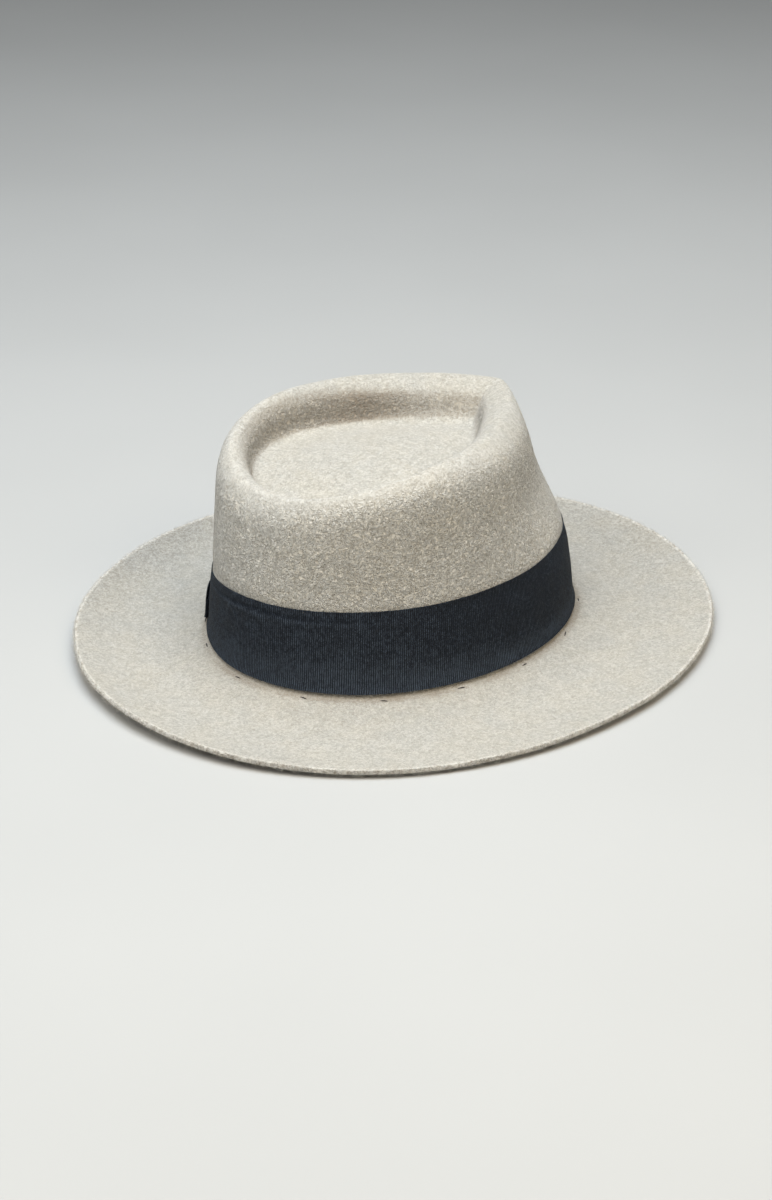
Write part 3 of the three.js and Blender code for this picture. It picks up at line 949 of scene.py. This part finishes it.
class FEDORA_OT_fuzz(bpy.types.Operator):
    """Loose wool fibres: a fringe on the brim's cut edge and a thin layer of them all over the outside"""
    bl_idname = "fedora.fuzz"
    bl_label = "Loose fibres"

    rim_depth = 0.0015
    # A fibre's rings from its root: share of its length, rise and thickness. Its tip is a point.
    rings = ((0.0, -0.1, 1.0), (0.45, 0.62, 0.8), (0.85, 0.8, 0.55))
    sides, tip_rise = 3, 0.75

    def execute(self, context):
        felt, fuzz = context.scene.fedora_felt, context.scene.fedora_fuzz
        body = piece_called(FELT)
        corners = self.triangles(body)
        turned = np.cross(corners[:, 1] - corners[:, 0], corners[:, 2] - corners[:, 0])
        areas = np.linalg.norm(turned, axis=1) / 2
        normals = turned / np.maximum(areas * 2, 1e-12)[:, None]
        centres = corners.mean(axis=1)
        low_inside = (oval_share(centres[:, 0], centres[:, 1]) < 0.99) & (centres[:, 2] < 0.055)
        outside = (normals[:, 2] > -0.25) & ~low_inside & self.seen_from_outside(body, centres, normals)
        rim = from_brim_edge(centres) < self.rim_depth
        finish = fuzz_material(felt)
        random = np.random.default_rng(20)
        for name, where, count, size, lift, stretch in (
                ("felt_nap_fibres", outside, fuzz.nap_count, 1.0, 0.2625, 0.85),
                ("brim_edge_fibres", rim, fuzz.edge_count, 1.2, 0.28, 1.2)):
            chance = np.where(where, areas, 0)
            picked = random.choice(len(chance), count, p=chance / chance.sum())
            piece = self.fibres(name, corners[picked], normals[picked], fuzz, size, lift, stretch, random)
            belongs(piece, finish, "wool_felt")
        return {"FINISHED"}

    def triangles(self, body):
        """The corners of each triangle of the felt."""
        body.data.calc_loop_triangles()
        corners = np.empty(len(body.data.loop_triangles) * 3, int)
        body.data.loop_triangles.foreach_get("vertices", corners)
        return places(body)[corners].reshape(-1, 3, 3)

    def seen_from_outside(self, body, centres, normals):
        """True where a face looks out of the hat: not its inside and not under its brim."""
        tree = BVHTree.FromObject(body, bpy.context.evaluated_depsgraph_get())
        on_wall = oval_share(centres[:, 0], centres[:, 1]) > 0.75
        on_crown = on_wall & (normals[:, 2] > -0.3) & (centres[:, 2] > 0.05)
        open_above = [
            tree.ray_cast(Vector(place) + Vector(normal) * 0.0005, Vector((0, 0, 1)))[0] is None
            for place, normal in zip(centres, normals)]
        return np.array(open_above) | on_crown

    def fibres(self, name, corners, normals, fuzz, size, lift, stretch, random):
        """Curved three-sided fibres, each rooted on its own triangle of the felt."""
        count = len(corners)
        a, b = random.random(count), random.random(count)
        flip = a + b > 1
        a[flip], b[flip] = 1 - a[flip], 1 - b[flip]
        first, second, third = corners[:, 0], corners[:, 1], corners[:, 2]
        roots = first + (second - first) * a[:, None] + (third - first) * b[:, None]
        wander = random.normal(size=(count, 3))
        side = wander - normals * (wander * normals).sum(1)[:, None]
        side /= np.linalg.norm(side, axis=1)[:, None]
        binormal = np.cross(normals, side)
        lengths = fuzz.length * size * random.lognormal(-0.15, 0.35, count)
        rise = lengths * np.clip(random.normal(lift, 0.18, count), 0.06, 0.95) * stretch
        curl = lengths * random.normal(0, 0.5, count)

        def middle(along, up):
            reach = side * (lengths * along)[:, None] + binormal * (curl * along * along)[:, None]
            return roots + reach + normals * (rise * up)[:, None]

        points = []
        for along, up, girth in self.rings:
            for turn in np.arange(self.sides) / self.sides * math.tau:
                out = normals * math.cos(turn) + binormal * math.sin(turn)
                points.append(middle(along, up) + out * fuzz.thickness / 2 * girth)
        points.append(middle(1, self.tip_rise))
        vertices = np.stack(points, axis=1)
        vertices[:, :, 2] = np.maximum(vertices[:, :, 2], 0.0001)
        mesh = bpy.data.meshes.new(name)
        faces = self.faces_of(count, len(points))
        mesh.from_pydata(vertices.reshape(-1, 3).tolist(), [], faces.tolist(), shade_flat=False)
        piece = bpy.data.objects.new(name, mesh)
        bpy.context.collection.objects.link(piece)
        return piece

    def faces_of(self, count, points):
        """The triangles of all fibres: a root cap, the sides between the rings, and the tip."""
        faces, tip = [(2, 1, 0)], points - 1
        for here in range(tip):
            after = here + 1 if (here + 1) % self.sides else here + 1 - self.sides
            if here + self.sides < tip:
                corner = after + self.sides
                faces += [(here, after, corner), (here, corner, here + self.sides)]
            else:
                faces.append((here, after, tip))
        return (np.array(faces) + points * np.arange(count)[:, None, None]).reshape(-1, 3)


class FEDORA_OT_stage(bpy.types.Operator):
    """A plain pale floor, soft studio light and the camera"""
    bl_idname = "fedora.stage"
    bl_label = "Floor, light and camera"

    floor_size, floor_drop = 8, 0.0002
    light_size, light_distance = 1.1, 1.5
    light_target = Vector((0, 0, 0.03))

    def execute(self, context):
        stage = context.scene.fedora_stage
        bpy.ops.mesh.primitive_plane_add(size=self.floor_size, location=(0, 0, -self.floor_drop))
        floor = new_piece("studio_floor")
        floor.data.materials.append(floor_material(stage))
        self.light("overhead_light", 0, 90, stage.overhead, (0.775, 0.883, 1.0))
        self.light("rear_light", 180, 55, stage.rear, (1.0, 0.985, 0.935))
        self.light("side_light", 270, 55, stage.side, (1.0, 0.864, 0.66))
        world = context.scene.world or bpy.data.worlds.new("studio")
        context.scene.world = world
        world.use_nodes = True
        background = world.node_tree.nodes["Background"]
        background.inputs["Color"].default_value = (0.95, 0.97, 1.0, 1)
        background.inputs["Strength"].default_value = stage.surround
        self.camera(context.scene, stage)
        context.scene.view_settings.view_transform = "Standard"
        return {"FINISHED"}

    def camera(self, scene, stage):
        bpy.ops.object.camera_add()
        camera = bpy.context.active_object
        camera.name = "photo_camera"
        camera.data.lens = stage.lens
        camera.data.sensor_width = 36
        camera.data.clip_start = 0.01
        back = self.direction(stage.azimuth, stage.elevation)
        right = Vector((math.cos(stage.azimuth), math.sin(stage.azimuth), 0))
        turned = Matrix((right, back.cross(right), back)).transposed().to_4x4()
        camera.matrix_world = Matrix.Translation(stage.eye) @ turned
        scene.camera = camera

    def light(self, name, bearing, rise, power, colour):
        """A square soft light that faces the hat from a bearing and a rise above level, in degrees."""
        away = self.direction(math.radians(bearing), math.radians(rise))
        bpy.ops.object.light_add(type="AREA", location=self.light_target + away * self.light_distance)
        lamp = bpy.context.active_object
        lamp.name = name
        lamp.data.shape = "SQUARE"
        lamp.data.size = self.light_size
        lamp.data.energy = power
        lamp.data.color = colour
        lamp.rotation_euler = away.to_track_quat("Z", "Y").to_euler()

    def direction(self, bearing, rise):
        """The way from the hat to a bearing and a rise above level."""
        level = math.cos(rise)
        return Vector((math.sin(bearing) * level, -math.cos(bearing) * level, math.sin(rise)))


class FEDORA_PT_panel(bpy.types.Panel):
    """The fedora's sizes, colours and pieces"""
    bl_label = "Fedora"
    bl_idname = "FEDORA_PT_panel"
    bl_space_type = "VIEW_3D"
    bl_region_type = "UI"
    bl_category = "Fedora"

    def draw(self, context):
        for label, holder, kind, operators in SECTIONS:
            box = self.layout.box()
            box.label(text=label)
            for name in kind.__annotations__:
                box.prop(getattr(context.scene, holder), name)
            for operator in operators:
                box.operator(operator.bl_idname)


# The panel's sections: label, the scene's name for the settings, settings and operators.
SECTIONS = (
    ("Felt", "fedora_felt", FedoraFelt, (FEDORA_OT_felt,)),
    ("Ribbon", "fedora_ribbon", FedoraRibbon, (FEDORA_OT_ribbon, FEDORA_OT_tacks)),
    ("Bow", "fedora_bow", FedoraBow, (FEDORA_OT_bow,)),
    ("Loose fibres", "fedora_fuzz", FedoraFuzz, (FEDORA_OT_fuzz,)),
    ("Stage", "fedora_stage", FedoraStage, (FEDORA_OT_stage,)),
)


def register():
    for _, holder, kind, operators in SECTIONS:
        for registered in (kind, *operators):
            bpy.utils.register_class(registered)
        setattr(bpy.types.Scene, holder, PointerProperty(type=kind))
    bpy.utils.register_class(FEDORA_PT_panel)


def unregister():
    bpy.utils.unregister_class(FEDORA_PT_panel)
    for _, holder, kind, operators in reversed(SECTIONS):
        delattr(bpy.types.Scene, holder)
        for registered in (*operators, kind):
            bpy.utils.unregister_class(registered)


def main():
    register()
    bpy.ops.fedora.felt()
    bpy.ops.fedora.ribbon()
    bpy.ops.fedora.bow()
    bpy.ops.fedora.tacks()
    bpy.ops.fedora.fuzz()
    bpy.ops.fedora.stage()


if __name__ == "__main__":
    main()
